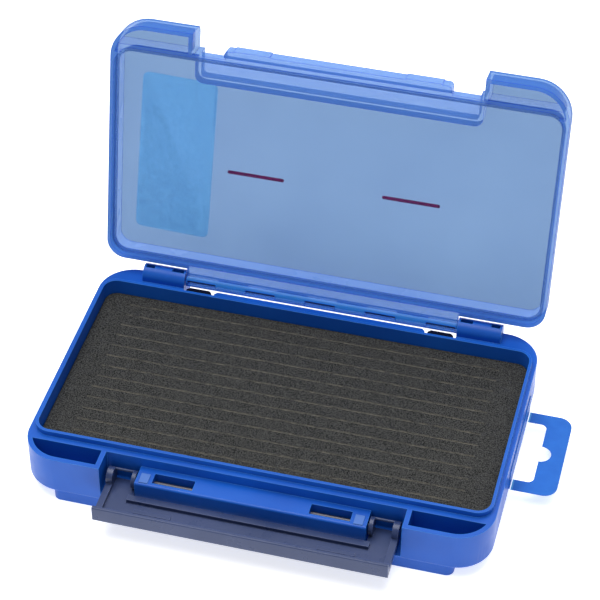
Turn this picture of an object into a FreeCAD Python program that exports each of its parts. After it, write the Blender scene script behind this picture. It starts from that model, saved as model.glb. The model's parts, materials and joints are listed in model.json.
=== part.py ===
"""Waterproof fly box with its lid standing open and its front latch folded down.

Lengths are millimetres, +Z is up, +X is to the right and +Y is to the back.
The origin is in the middle of the ring foot, on the surface that the box stands on.
Each piece is drawn in a frame of its own and then placed:
the tray and what it carries from the middle of its front foot edge,
the lid closed, from its hinge axis, and the latch lever closed, from its pin's axis.
"""

import FreeCAD, Part
import math
import os

import Sketcher

V = FreeCAD.Vector

# Driving sizes

SIZES = {
    # Tray
    "tray_width": 190.0,
    "tray_depth": 117.6,
    "shelf_height": 23.0,
    "corner_radius": 15.0,
    "foot_height": 4.7,
    "foot_side_inset": 13.2,
    "foot_inset": 0.6,
    "foot_wall": 2.0,
    "foot_radius": 3.2,
    "floor_thickness": 2.0,
    "bottom_round": 2.0,
    "outer_wall": 2.0,
    # Sealed compartment and its lip
    "side_shelf": 2.95,
    "front_shelf": 13.65,
    "back_shelf": 11.8,
    "room_radius": 5.5,
    "lip_height": 2.5,
    "lip_thickness": 1.2,
    "back_wall": 3.2,
    # Latch recess
    "corner_width": 34.0,
    "recess_depth": 10.0,
    # Fixed pin block of the latch
    "block_side_gap": 14.2,
    "block_front": 0.4,
    "block_rise": 3.9,
    "block_height": 7.5,
    "block_round": 0.9,
    "block_window_inset": 6.7,
    "block_window_length": 16.5,
    "block_window_front": 2.3,
    "block_window_depth": 5.2,
    "block_pad_inset": 1.5,
    "block_pad_length": 3.7,
    "block_pad_front": 1.4,
    "block_pad_depth": 4.9,
    "block_pad_rise": 0.4,
    # Latch pins
    "latch_axis_y": 5.8,
    "latch_axis_rise": 7.7,
    "latch_pin_radius": 1.0,
    "latch_pin_depth": 25.2,
    "latch_pin_cap": 0.4,
    "pin_clearance": 0.06,
    # Latch lever, closed
    "lever_side_gap": 1.7,
    "lever_rise": 12.4,
    "lever_thickness": 1.2,
    "lever_face": 3.2,
    "root_gap": 0.35,
    "flange_reach": 5.7,
    "flange_thickness": 1.5,
    "flange_round": 0.5,
    "lever_edge_rise": 2.0,
    "ear_radius": 3.7,
    "ear_width": 1.6,
    "outer_ear_width": 2.6,
    "ear_gap": 0.6,
    "ear_root": 2.3,
    "ear_bar_radius": 0.6,
    "ear_bar_angle": 42.0,
    "step_overlap": 2.2,
    "step_length": 2.8,
    "step_rise": 1.4,
    "relief_width": 0.7,
    "relief_depth": 0.4,
    "lever_pad_inset": 2.0,
    "lever_pad_length": 15.3,
    "lever_pad_drop": 4.8,
    "lever_pad_height": 2.0,
    "lever_pad_rise": 0.4,
    "lever_open_angle": 90.0,
    # Hinge
    "hinge_inset": 2.7,
    "hinge_rise": 1.6,
    "hinge_pin_radius": 1.0,
    "knuckle_radius": 4.2,
    "knuckle_side_inset": 17.0,
    "knuckle_length": 18.6,
    "knuckle_foot": 15.0,
    "notch_inner_length": 5.2,
    "notch_outer_length": 3.8,
    "notch_end": 0.9,
    "barrel_radius": 2.8,
    "barrel_gap": 0.4,
    "barrel_end": 0.6,
    "web_half_thickness": 1.3,
    "lid_open_angle": 102.7,
    # Rib and bumpers behind the back wall
    "rib_end_gap": 1.3,
    "rib_reach": 2.9,
    "rib_drop": 0.1,
    "rib_height": 3.0,
    "rib_chamfer": 1.2,
    "bumper_length": 11.0,
    "bumper_end_gap": 1.2,
    "bumper_reach": 2.9,
    # Foam
    "foam_drop": 4.1,
    "foam_gap": 0.2,
    "glue_thickness": 0.3,
    "slit_end_margin": 12.0,
    "slit_width": 0.3,
    "slit_depth": 7.0,
    "slit_front_margin": 8.85,
    "slit_back_margin": 6.5,
    # Lid
    "lid_front": 0.8,
    "lid_back_wall": 1.6,
    "lid_height": 12.0,
    "lid_plate": 2.0,
    "lid_wall": 1.7,
    "lid_back_radius": 8.0,
    "lid_round": 3.5,
    "lid_rim_gap": 0.3,
    "lid_recess_overlap": 0.8,
    "lid_recess_step": 1.0,
    "lid_notch_inset": 2.2,
    "lid_notch_drop": 5.0,
    "lid_notch_depth": 22.0,
    "lid_notch_radius": 1.5,
    "lid_pocket_depth": 10.9,
    "lid_partition_rise": 2.8,
    "groove_gap": 0.25,
    "gasket_thickness": 1.0,
    "gasket_gap": 0.3,
    "gasket_side_gap": 0.05,
    # Catch rail of the lid
    "rail_overlap": 0.2,
    "rail_front": 6.5,
    "rail_depth": 2.9,
    "rail_low": 0.9,
    "rail_top": 6.2,
    "rail_web_drop": 3.4,
    "rail_round": 1.8,
    "rail_bump_inset": 4.0,
    "rail_bump_length": 15.0,
    "rail_bump_rise": 0.4,
    # Blank label
    "label_width": 32.4,
    "label_length": 72.5,
    "label_radius": 3.0,
    "label_thickness": 0.15,
    "label_side_inset": 26.0,
    "label_back_inset": 46.45,
    "label_angle": 1.5,
    # Hanging tab
    "tab_offset": 9.05,
    "tab_length": 44.9,
    "tab_reach": 18.4,
    "tab_film": 0.4,
    "tab_patch_height": 9.5,
    "tab_fold_height": 6.9,
    "tab_fold_gap": 0.3,
    "tab_radius": 5.5,
    "tab_arm": 5.6,
    "tab_strip": 10.0,
    "tab_window_radius": 2.5,
    "tab_hole_radius": 4.4,
    # Shared
    "sink": 0.5,
    "overrun": 2.0,
}

SLIT_COUNT = 13
BARREL_SEGMENTS = 9

doc = FreeCAD.newDocument("fly_box")
sheet = doc.addObject("Spreadsheet::Sheet", "Sizes")
for row, (alias, value) in enumerate(SIZES.items(), start=1):
    sheet.set(f"A{row}", alias)
    sheet.set(f"B{row}", str(value))
    sheet.setAlias(f"B{row}", alias)
doc.recompute()


# Expressions

def sized(text):
    """Put the sheet's name before each size in an expression such as "shelf_height - lip_height"."""
    words = []
    word = ""
    for letter in text + " ":
        if letter.isalnum() or letter in "_.":
            word += letter
            continue
        words.append(f"Sizes.{word}" if word in SIZES else word)
        words.append(letter)
        word = ""
    return "".join(words).strip()


def number(text):
    """The value that an expression has now."""
    return float(sheet.evalExpression(sized(text)))


def bind(item, path, text):
    """Tie one property of an object to the sheet."""
    item.setExpression(path, sized(text))


def negative(text):
    return f"-({text})"


# Places that several pieces share, counted from the tray's front foot edge

HALF_WIDTH = "(tray_width / 2)"
ROOM_HALF = f"({HALF_WIDTH} - side_shelf)"
ROOM_BACK = "(tray_depth - back_shelf)"
BACK_FACE = f"({ROOM_BACK} + back_wall)"
RECESS_FLOOR = "(foot_height + floor_thickness)"
RECESS_HALF = f"({HALF_WIDTH} - corner_width)"
BLOCK_HALF = f"({RECESS_HALF} - block_side_gap)"
LATCH_Z = f"({RECESS_FLOOR} + latch_axis_rise)"
LATCH_DROP = f"(shelf_height - {LATCH_Z})"
BLOCK_TOP = f"({LATCH_Z} + block_rise)"
LATCH_BORE = "(latch_pin_radius + pin_clearance)"
LEVER_HALF = f"({RECESS_HALF} - lever_side_gap)"
LEVER_LENGTH = f"({LATCH_DROP} + lever_rise)"
INNER_EAR = f"({BLOCK_HALF} + ear_gap)"
PIN_END = f"({INNER_EAR} + ear_width - latch_pin_cap)"
EAR_BAR_REACH = "(ear_radius - ear_bar_radius)"
BLOCK_CORNER_FRONT = "(latch_axis_y - block_front - block_round)"
BLOCK_CORNER_RISE = "(block_rise - block_round)"
BLOCK_REACH = f"(sqrt({BLOCK_CORNER_FRONT} ^ 2 + {BLOCK_CORNER_RISE} ^ 2) + block_round)"
LEVER_ROOT = f"({BLOCK_REACH} + root_gap)"
HINGE_Y = "(tray_depth - hinge_inset)"
HINGE_Z = "(shelf_height + hinge_rise)"
HINGE_BORE = "(hinge_pin_radius + pin_clearance)"
KNUCKLE_OUTER = f"({HALF_WIDTH} - knuckle_side_inset)"
KNUCKLE_INNER = f"({KNUCKLE_OUTER} - knuckle_length)"
BARREL_HALF = f"({KNUCKLE_INNER} - barrel_gap)"
BUMPER_OUTER = f"({KNUCKLE_INNER} - bumper_end_gap)"
RIB_HALF = f"({BUMPER_OUTER} - bumper_length - rib_end_gap)"
FOAM_FLOOR = f"({RECESS_FLOOR} + glue_thickness)"
LID_BACK = f"({ROOM_BACK} + lip_thickness + groove_gap + lid_back_wall)"
LID_RECESS_HALF = f"({RECESS_HALF} - lid_recess_overlap)"
LID_RECESS_BACK = "(recess_depth + lid_recess_step)"
NOTCH_HALF = f"({LID_RECESS_HALF} - lid_notch_inset)"
NOTCH_TOP = "(lid_height - lid_notch_drop)"
RAIL_HALF = f"({BLOCK_HALF} + rail_overlap)"
TAB_FRONT = f"(tray_depth / 2 + tab_offset - tab_length / 2)"


def lid_y(text):
    """A place counted from the tray's front, in the lid's own frame."""
    return f"{text} - {HINGE_Y}"


def lid_z(text):
    """A height counted from the tray's shelf, in the lid's own frame."""
    return f"{text} - hinge_rise"


SEAT_ROOF = lid_z("lip_height + gasket_gap + gasket_thickness")


# Sketches and features

def plane(body, role):
    """One of a body's own origin planes."""
    return next(item for item in body.Origin.OriginFeatures if item.Role == role)


def flat_sketch(body, name, level):
    """A sketch in plan, at a level above the body's own XY plane."""
    sketch = body.newObject("Sketcher::SketchObject", name)
    sketch.AttachmentSupport = [(plane(body, "XY_Plane"), "")]
    sketch.MapMode = "FlatFace"
    bind(sketch, ".AttachmentOffset.Base.z", level)
    return sketch


def end_sketch(body, name, x_place):
    """A sketch across the width, whose own axes are the body's Y and Z."""
    sketch = body.newObject("Sketcher::SketchObject", name)
    sketch.AttachmentSupport = [(plane(body, "YZ_Plane"), "")]
    sketch.MapMode = "FlatFace"
    bind(sketch, ".AttachmentOffset.Base.z", x_place)
    return sketch


def place_point(sketch, element, end, axis, text):
    """Hold one point of an element at a signed distance from the sketch's origin."""
    index = sketch.addConstraint(Sketcher.Constraint(f"Distance{axis}", -1, 1, element, end, number(text)))
    bind(sketch, f"Constraints[{index}]", text)


def rectangle(sketch, left, right, low, high):
    """A rectangle between four signed places."""
    x0, x1, y0, y1 = [number(text) for text in (left, right, low, high)]
    corners = [V(x0, y0), V(x1, y0), V(x1, y1), V(x0, y1)]
    lines = []
    for start, end in zip(corners, corners[1:] + corners[:1]):
        lines.append(sketch.addGeometry(Part.LineSegment(start, end)))
    for line, following in zip(lines, lines[1:] + lines[:1]):
        sketch.addConstraint(Sketcher.Constraint("Coincident", line, 2, following, 1))
    for line, kind in zip(lines, ("Horizontal", "Vertical", "Horizontal", "Vertical")):
        sketch.addConstraint(Sketcher.Constraint(kind, line))
    place_point(sketch, lines[0], 1, "X", left)
    place_point(sketch, lines[0], 1, "Y", low)
    place_point(sketch, lines[2], 1, "X", right)
    place_point(sketch, lines[2], 1, "Y", high)


def round_rectangle(sketch, left, right, low, high, radius, far_radius=None):
    """A rectangle with round corners, whose two corners on the high side may have a radius of their own."""
    far_radius = far_radius or radius
    x0, x1, y0, y1, turn, far = [number(text) for text in (left, right, low, high, radius, far_radius)]
    lines = [
        sketch.addGeometry(Part.LineSegment(V(x0 + turn, y0), V(x1 - turn, y0))),
        sketch.addGeometry(Part.LineSegment(V(x1, y0 + turn), V(x1, y1 - far))),
        sketch.addGeometry(Part.LineSegment(V(x1 - far, y1), V(x0 + far, y1))),
        sketch.addGeometry(Part.LineSegment(V(x0, y1 - far), V(x0, y0 + turn))),
    ]
    corners = [(x1 - turn, y0 + turn, turn), (x1 - far, y1 - far, far), (x0 + far, y1 - far, far),
               (x0 + turn, y0 + turn, turn)]
    arcs = []
    for quarter, (across, along, size) in enumerate(corners, start=-1):
        whole = Part.Circle(V(across, along), V(0, 0, 1), size)
        arcs.append(sketch.addGeometry(Part.ArcOfCircle(whole, quarter * math.pi / 2, (quarter + 1) * math.pi / 2)))
    for line, arc, following in zip(lines, arcs, lines[1:] + lines[:1]):
        sketch.addConstraint(Sketcher.Constraint("Tangent", line, 2, arc, 1))
        sketch.addConstraint(Sketcher.Constraint("Tangent", arc, 2, following, 1))
    for line, kind in zip(lines, ("Horizontal", "Vertical", "Horizontal", "Vertical")):
        sketch.addConstraint(Sketcher.Constraint(kind, line))
    for first, second, text in ((arcs[0], arcs[3], radius), (arcs[1], arcs[2], far_radius)):
        sketch.addConstraint(Sketcher.Constraint("Equal", first, second))
        index = sketch.addConstraint(Sketcher.Constraint("Radius", first, number(text)))
        bind(sketch, f"Constraints[{index}]", text)
    place_point(sketch, lines[0], 1, "Y", low)
    place_point(sketch, lines[1], 1, "X", right)
    place_point(sketch, lines[2], 1, "Y", high)
    place_point(sketch, lines[3], 1, "X", left)


def circle(sketch, across, up, radius):
    """A circle about a signed place."""
    element = sketch.addGeometry(Part.Circle(V(number(across), number(up)), V(0, 0, 1), number(radius)))
    index = sketch.addConstraint(Sketcher.Constraint("Radius", element, number(radius)))
    bind(sketch, f"Constraints[{index}]", radius)
    place_point(sketch, element, 3, "X", across)
    place_point(sketch, element, 3, "Y", up)


def rectangle_pair(sketch, inner, outer, low, high):
    """The same rectangle to the right and to the left of the middle."""
    rectangle(sketch, inner, outer, low, high)
    rectangle(sketch, negative(outer), negative(inner), low, high)


def room_outline(sketch, growth="0", origin="0"):
    """The compartment's outline grown by an amount, with y counted from an origin."""
    half = f"{ROOM_HALF} + {growth}"
    round_rectangle(sketch, negative(half), half, f"front_shelf - ({growth}) - {origin}",
                    f"{ROOM_BACK} + {growth} - {origin}", f"room_radius + {growth}")


def tray_outline(sketch, inset="0"):
    """The tray's outline, less a wall."""
    half = f"{HALF_WIDTH} - {inset}"
    round_rectangle(sketch, negative(half), half, inset, f"tray_depth - {inset}", f"corner_radius - {inset}")


def lid_outline(sketch, inset="0"):
    """The lid's outline, less a wall."""
    half = f"{HALF_WIDTH} - {inset}"
    round_rectangle(sketch, negative(half), half, lid_y(f"lid_front + {inset}"), lid_y(f"{LID_BACK} - {inset}"),
                    f"corner_radius - {inset}", f"lid_back_radius - {inset}")


def pad(body, sketch, length):
    """Add material along the sketch's normal."""
    feature = body.newObject("PartDesign::Pad", f"{sketch.Name}_pad")
    feature.Profile = sketch
    bind(feature, "Length", length)
    doc.recompute()


def pocket(body, sketch, length):
    """Take material away against the sketch's normal, and see that some went."""
    before = body.Shape.Volume
    feature = body.newObject("PartDesign::Pocket", f"{sketch.Name}_pocket")
    feature.Profile = sketch
    bind(feature, "Length", length)
    doc.recompute()
    if body.Shape.Volume >= before:
        raise RuntimeError(f"{feature.Name} cut nothing")


def edges_between(shape, low, high):
    """Names of the edges that lie wholly inside a box."""
    names = []
    for index, edge in enumerate(shape.Edges, start=1):
        ends = [vertex.Point for vertex in edge.Vertexes]
        middle = edge.valueAt((edge.FirstParameter + edge.LastParameter) / 2)
        if all(low[axis] <= point[axis] <= high[axis] for point in ends + [middle] for axis in range(3)):
            names.append(f"Edge{index}")
    return names


def soften(body, name, kind, amount, low, high):
    """Fillet or chamfer the edges of a body's newest feature that lie inside a box of expressions."""
    near = min(SIZES.values()) / 100
    corner = [number(text) - near for text in low]
    opposite = [number(text) + near for text in high]
    base = body.Tip
    names = edges_between(base.Shape, corner, opposite)
    if not names:
        raise RuntimeError(f"{name} finds no edge")
    feature = body.newObject(f"PartDesign::{kind}", name)
    feature.Base = (base, names)
    bind(feature, "Radius" if kind == "Fillet" else "Size", amount)
    doc.recompute()


def block(name, left, right, front, back, low, high):
    """A plain box between six signed places."""
    item = doc.addObject("Part::Box", name)
    bind(item, "Length", f"({right}) - ({left})")
    bind(item, "Width", f"({back}) - ({front})")
    bind(item, "Height", f"({high}) - ({low})")
    bind(item, ".Placement.Base.x", left)
    bind(item, ".Placement.Base.y", front)
    bind(item, ".Placement.Base.z", low)
    return item


def rod(name, left, right, radius, y_place, z_place):
    """A round bar along X."""
    item = doc.addObject("Part::Cylinder", name)
    bind(item, "Radius", radius)
    bind(item, "Height", f"({right}) - ({left})")
    item.Placement = FreeCAD.Placement(V(), FreeCAD.Rotation(V(0, 1, 0), 90))
    bind(item, ".Placement.Base.x", left)
    bind(item, ".Placement.Base.y", y_place)
    bind(item, ".Placement.Base.z", z_place)
    return item


def column(name, low, high, draw):
    """An upright column between two levels, whose outline a function draws."""
    body = doc.addObject("PartDesign::Body", name)
    sketch = flat_sketch(body, f"{name}_outline", low)
    draw(sketch)
    pad(body, sketch, f"({high}) - ({low})")
    return body


def boolean(kind, name, base, tool):
    """The cut, or the common part, of two shapes."""
    item = doc.addObject(f"Part::{kind}", name)
    item.Base = base
    item.Tool = tool
    doc.recompute()
    return item


def joined(name, items):
    """Several shapes as one."""
    item = doc.addObject("Part::MultiFuse", name)
    item.Shapes = items
    doc.recompute()
    return item


def both_sides(inner, outer):
    """The span from an inner to an outer place, on the right and on the left."""
    return (("right", inner, outer), ("left", negative(outer), negative(inner)))


# Tray, drawn from the middle of its front foot edge

def make_tray():
    """The moulded tray, in one piece with its pin block, knuckles, rib and foot."""
    body = doc.addObject("PartDesign::Body", "tray_block")
    outline = flat_sketch(body, "tray_outline", "foot_height")
    tray_outline(outline)
    pad(body, outline, "shelf_height - foot_height")
    soften(body, "tray_bottom_round", "Fillet", "bottom_round",
           ("-tray_width", "-tray_depth", "foot_height"), ("tray_width", "2 * tray_depth", "foot_height"))
    make_foot(body)

    gap = flat_sketch(body, "back_gap", "shelf_height")
    rectangle(gap, negative(KNUCKLE_INNER), KNUCKLE_INNER, BACK_FACE, "tray_depth + overrun")
    pocket(body, gap, "shelf_height + overrun")
    room = flat_sketch(body, "room", "shelf_height")
    room_outline(room)
    pocket(body, room, f"shelf_height - ({RECESS_FLOOR})")
    recess = flat_sketch(body, "latch_recess", "shelf_height")
    rectangle(recess, negative(RECESS_HALF), RECESS_HALF, "-overrun", "recess_depth")
    pocket(body, recess, f"shelf_height - ({RECESS_FLOOR})")
    lip = flat_sketch(body, "lip", "shelf_height")
    room_outline(lip)
    room_outline(lip, "lip_thickness")
    pad(body, lip, "lip_height")
    make_pin_block(body)
    make_rib(body)

    cored = boolean("Cut", "tray_cored", body, make_tray_hollows())
    return boolean("Cut", "tray_form", joined("tray_with_knuckles", [cored, make_knuckles()]), make_hinge_bores())


def make_foot(body):
    """The ring that the box stands on, with two thin ribs that cross in the middle."""
    back = f"{BACK_FACE} - foot_inset"
    outer = f"{HALF_WIDTH} - foot_side_inset"
    inner = f"{outer} - foot_wall"
    ring = flat_sketch(body, "foot_ring", "0")
    round_rectangle(ring, negative(outer), outer, "foot_inset", back, "foot_radius")
    round_rectangle(ring, negative(inner), inner, "foot_inset + foot_wall", f"{back} - foot_wall",
                    "foot_radius - foot_wall")
    pad(body, ring, "foot_height + bottom_round")
    across = flat_sketch(body, "foot_rib_across", "0")
    rectangle(across, f"-({inner} + sink)", f"{inner} + sink", "(tray_depth - foot_wall) / 2",
              "(tray_depth + foot_wall) / 2")
    pad(body, across, "foot_height + sink")
    along = flat_sketch(body, "foot_rib_along", "0")
    rectangle(along, "-foot_wall / 2", "foot_wall / 2", "foot_inset + foot_wall - sink",
              f"{back} - foot_wall + sink")
    pad(body, along, "foot_height + sink")


def make_pin_block(body):
    """The fixed block that the lever's pins run through, with its windows, pads and bores."""
    outline = flat_sketch(body, "block", f"{BLOCK_TOP} - block_height")
    rectangle(outline, negative(BLOCK_HALF), BLOCK_HALF, "block_front", "recess_depth + sink")
    pad(body, outline, "block_height")
    soften(body, "block_front_round", "Fillet", "block_round",
           (negative(BLOCK_HALF), "block_front", BLOCK_TOP), (BLOCK_HALF, "block_front", BLOCK_TOP))

    windows = flat_sketch(body, "block_windows", BLOCK_TOP)
    window_end = f"{BLOCK_HALF} - block_window_inset"
    rectangle_pair(windows, f"{window_end} - block_window_length", window_end, "block_window_front",
                   "block_window_front + block_window_depth")
    pocket(body, windows, "block_rise + latch_pin_radius + sink")
    pads = flat_sketch(body, "block_pads", BLOCK_TOP)
    pad_end = f"{BLOCK_HALF} - block_pad_inset"
    rectangle_pair(pads, f"{pad_end} - block_pad_length", pad_end, "block_pad_front",
                   "block_pad_front + block_pad_depth")
    pad(body, pads, "block_pad_rise")

    depth = "latch_pin_depth + pin_clearance"
    for side, left, right in both_sides(f"{BLOCK_HALF} - ({depth})", BLOCK_HALF):
        hole = end_sketch(body, f"block_bore_{side}", right)
        circle(hole, "latch_axis_y", LATCH_Z, LATCH_BORE)
        pocket(body, hole, depth)


def make_rib(body):
    """The low rib behind the back wall, between the two bumpers."""
    far = f"{BACK_FACE} + rib_reach"
    low = "shelf_height - rib_drop - rib_height"
    rib = flat_sketch(body, "back_rib", low)
    rectangle(rib, negative(RIB_HALF), RIB_HALF, f"{BACK_FACE} - sink", far)
    pad(body, rib, "rib_height")
    for side, end in (("right", RIB_HALF), ("left", negative(RIB_HALF))):
        soften(body, f"back_rib_chamfer_{side}", "Chamfer", "rib_chamfer", (end, far, low),
               (end, far, f"{low} + rib_height"))


def make_tray_hollows():
    """The two open pockets at the front corners, and the cored-out undersides of the back corners."""
    top = "shelf_height + overrun"
    under = "shelf_height - outer_wall"
    start = f"{BACK_FACE} + outer_wall"
    front_boxes = []
    for side, left, right in both_sides(f"{RECESS_HALF} + outer_wall", HALF_WIDTH):
        front_boxes.append(block(f"front_hollow_{side}", left, right, "0", "recess_depth", RECESS_FLOOR, top))
    back_boxes = []
    for side, left, right in both_sides(f"{KNUCKLE_INNER} + outer_wall", HALF_WIDTH):
        back_boxes.append(block(f"back_hollow_{side}", left, right, start, "tray_depth", "-overrun", under))
    front = column("front_column", RECESS_FLOOR, top, lambda sketch: tray_outline(sketch, "outer_wall"))
    back = column("back_column", "-overrun", under, lambda sketch: tray_outline(sketch, "outer_wall"))
    return joined("tray_hollows", [
        boolean("Common", "front_hollows", front, joined("front_hollow_boxes", front_boxes)),
        boolean("Common", "back_hollows", back, joined("back_hollow_boxes", back_boxes)),
    ])


def make_knuckles():
    """Two round-topped hinge knuckles on the back corners, each on its own stem."""
    pieces = []
    for side, left, right in both_sides(KNUCKLE_INNER, KNUCKLE_OUTER):
        pieces.append(rod(f"knuckle_round_{side}", left, right, "knuckle_radius", HINGE_Y, HINGE_Z))
        pieces.append(block(f"knuckle_stem_{side}", left, right, f"{HINGE_Y} - knuckle_radius",
                            f"{HINGE_Y} + knuckle_radius", f"{HINGE_Z} - knuckle_foot", HINGE_Z))
    return joined("knuckles", pieces)


def make_hinge_bores():
    """The pin's bore, open at the right end, and the core-out notches over it."""
    near = f"{KNUCKLE_INNER} + notch_end"
    far = f"{KNUCKLE_OUTER} - notch_end"
    pieces = [rod("hinge_bore", negative(far), f"{KNUCKLE_OUTER} + overrun", HINGE_BORE, HINGE_Y, HINGE_Z)]
    spans = {"near": (near, f"{near} + notch_inner_length"), "far": (f"{far} - notch_outer_length", far)}
    for place, (inner, outer) in spans.items():
        for side, left, right in both_sides(inner, outer):
            pieces.append(block(f"knuckle_notch_{place}_{side}", left, right, f"{HINGE_Y} - {HINGE_BORE}",
                                f"{HINGE_Y} + {HINGE_BORE}", HINGE_Z, f"{HINGE_Z} + knuckle_radius + overrun"))
    return joined("hinge_bores", pieces)


# What the tray carries, drawn in the tray's frame

def make_foam():
    """The foam block, with rows of slits cut down from its top."""
    body = doc.addObject("PartDesign::Body", "foam_form")
    top = "shelf_height - foam_drop"
    outline = flat_sketch(body, "foam_outline", FOAM_FLOOR)
    room_outline(outline, "-foam_gap")
    pad(body, outline, f"{top} - ({FOAM_FLOOR})")
    slits = flat_sketch(body, "foam_slits", top)
    first = "front_shelf + slit_front_margin"
    last = f"{ROOM_BACK} - slit_back_margin"
    end = f"{ROOM_HALF} - slit_end_margin"
    for row in range(SLIT_COUNT):
        middle = f"{first} + ({last} - ({first})) * {row} / {SLIT_COUNT - 1}"
        rectangle(slits, negative(end), end, f"{middle} - slit_width / 2", f"{middle} + slit_width / 2")
    pocket(body, slits, "slit_depth")
    return body


def make_glue():
    """The sheet of adhesive between the foam and the tray's floor."""
    return column("glue_form", RECESS_FLOOR, FOAM_FLOOR, lambda sketch: room_outline(sketch, "-foam_gap"))


def make_hinge_pin():
    """The long steel wire through both knuckles and the lid's barrel."""
    end = f"{KNUCKLE_OUTER} - notch_end - pin_clearance"
    return rod("hinge_pin_form", negative(end), end, "hinge_pin_radius", HINGE_Y, HINGE_Z)


def make_latch_pins():
    """Two equal steel pins, each through one end of the block and the ear beside it."""
    pieces = []
    for side, left, right in both_sides(f"{BLOCK_HALF} - latch_pin_depth", PIN_END):
        pieces.append(rod(f"latch_pin_{side}", left, right, "latch_pin_radius", "latch_axis_y", LATCH_Z))
    return joined("latch_pins_form", pieces)


def make_bumpers():
    """Two short dark bars on the back wall, between the rib and the knuckles."""
    far = f"{BACK_FACE} + bumper_reach"
    low = "shelf_height - rib_drop - rib_height"
    pieces = []
    for side, left, right in both_sides(f"{BUMPER_OUTER} - bumper_length", BUMPER_OUTER):
        body = doc.addObject("PartDesign::Body", f"bumper_{side}")
        outline = flat_sketch(body, f"bumper_outline_{side}", low)
        rectangle(outline, left, right, BACK_FACE, far)
        pad(body, outline, "rib_height")
        for end, place in (("left", left), ("right", right)):
            soften(body, f"bumper_{side}_chamfer_{end}", "Chamfer", "rib_chamfer", (place, far, low),
                   (place, far, f"{low} + rib_height"))
        pieces.append(body)
    return joined("bumpers_form", pieces)


def make_tab_patch():
    """The part of the hanging tab that is stuck to the tray's right side."""
    low = "tab_fold_height + tab_film / 2"
    return block("tab_patch_form", HALF_WIDTH, f"{HALF_WIDTH} + tab_film", TAB_FRONT,
                 f"{TAB_FRONT} + tab_length", low, f"{low} + tab_patch_height")


def make_tab_loop():
    """The part of the hanging tab that swings at the fold, with its window and round hole."""
    near = f"{HALF_WIDTH} + tab_film + tab_fold_gap"
    far = f"{HALF_WIDTH} + tab_film + tab_reach"
    level = "tab_fold_height - tab_film / 2"
    back = f"{TAB_FRONT} + tab_length"
    body = doc.addObject("PartDesign::Body", "tab_loop_form")
    arms = flat_sketch(body, "tab_arms", level)
    rectangle(arms, near, f"{far} - tab_radius", TAB_FRONT, back)
    pad(body, arms, "tab_film")
    head = flat_sketch(body, "tab_head", level)
    round_rectangle(head, f"{near} + tab_fold_gap", far, TAB_FRONT, back, "tab_radius")
    pad(body, head, "tab_film")
    window = flat_sketch(body, "tab_window", f"{level} + tab_film")
    round_rectangle(window, f"{near} - tab_reach", f"{far} - tab_strip", f"{TAB_FRONT} + tab_arm",
                    f"{back} - tab_arm", "tab_window_radius")
    pocket(body, window, "tab_film")
    hole = flat_sketch(body, "tab_hole", f"{level} + tab_film")
    circle(hole, f"{far} - tab_strip", f"{TAB_FRONT} + tab_length / 2", "tab_hole_radius")
    pocket(body, hole, "tab_film")
    return body


# Lid, drawn closed from the hinge axis

def make_lid():
    """The moulded lid with its stepped wall, front notch, catch rail and hinge barrel."""
    body = doc.addObject("PartDesign::Body", "lid_block")
    outline = flat_sketch(body, "lid_outline", lid_z("lid_rim_gap"))
    lid_outline(outline)
    pad(body, outline, "lid_height - lid_rim_gap")
    top = lid_z("lid_height")
    soften(body, "lid_top_round", "Fillet", "lid_round",
           ("-tray_width", "-2 * tray_depth", top), ("tray_width", "tray_depth", top))

    recess = flat_sketch(body, "lid_recess", top)
    rectangle(recess, negative(LID_RECESS_HALF), LID_RECESS_HALF, lid_y("lid_front - overrun"),
              lid_y(LID_RECESS_BACK))
    pocket(body, recess, "lid_height")
    notch = flat_sketch(body, "lid_notch", top)
    round_rectangle(notch, negative(NOTCH_HALF), NOTCH_HALF, lid_y("lid_front - overrun"),
                    lid_y("lid_notch_depth"), "lid_notch_radius")
    pocket(body, notch, "lid_notch_drop")
    make_rail(body)
    make_barrel(body)
    hollows = joined("lid_hollows", [make_lid_room(), make_lid_seat(), make_lid_pockets()])
    return boolean("Cut", "lid_form", body, hollows)


def make_rail(body):
    """The catch rail in front of the lid, with round ends, a web and two raised stretches."""
    back = lid_y("rail_front + rail_depth")
    rail = flat_sketch(body, "rail", lid_z("rail_low"))
    rectangle(rail, negative(RAIL_HALF), RAIL_HALF, lid_y("rail_front"), back)
    pad(body, rail, "rail_top - rail_low")
    for side, end in (("right", RAIL_HALF), ("left", negative(RAIL_HALF))):
        soften(body, f"rail_round_{side}", "Fillet", "rail_round", (end, lid_y("rail_front"), lid_z("rail_low")),
               (end, lid_y("rail_front"), lid_z("rail_top")))
    web = flat_sketch(body, "rail_web", lid_z("rail_top - rail_web_drop"))
    rectangle(web, negative(RAIL_HALF), RAIL_HALF, f"{back} - sink", lid_y(f"{LID_RECESS_BACK} + sink"))
    pad(body, web, "rail_web_drop")
    bumps = flat_sketch(body, "rail_bumps", lid_z("rail_low"))
    bump_end = f"{RAIL_HALF} - rail_bump_inset"
    rectangle_pair(bumps, f"{bump_end} - rail_bump_length", bump_end, lid_y("rail_front - rail_bump_rise"),
                   lid_y("rail_front + sink"))
    pad(body, bumps, "rail_top - rail_low")


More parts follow.
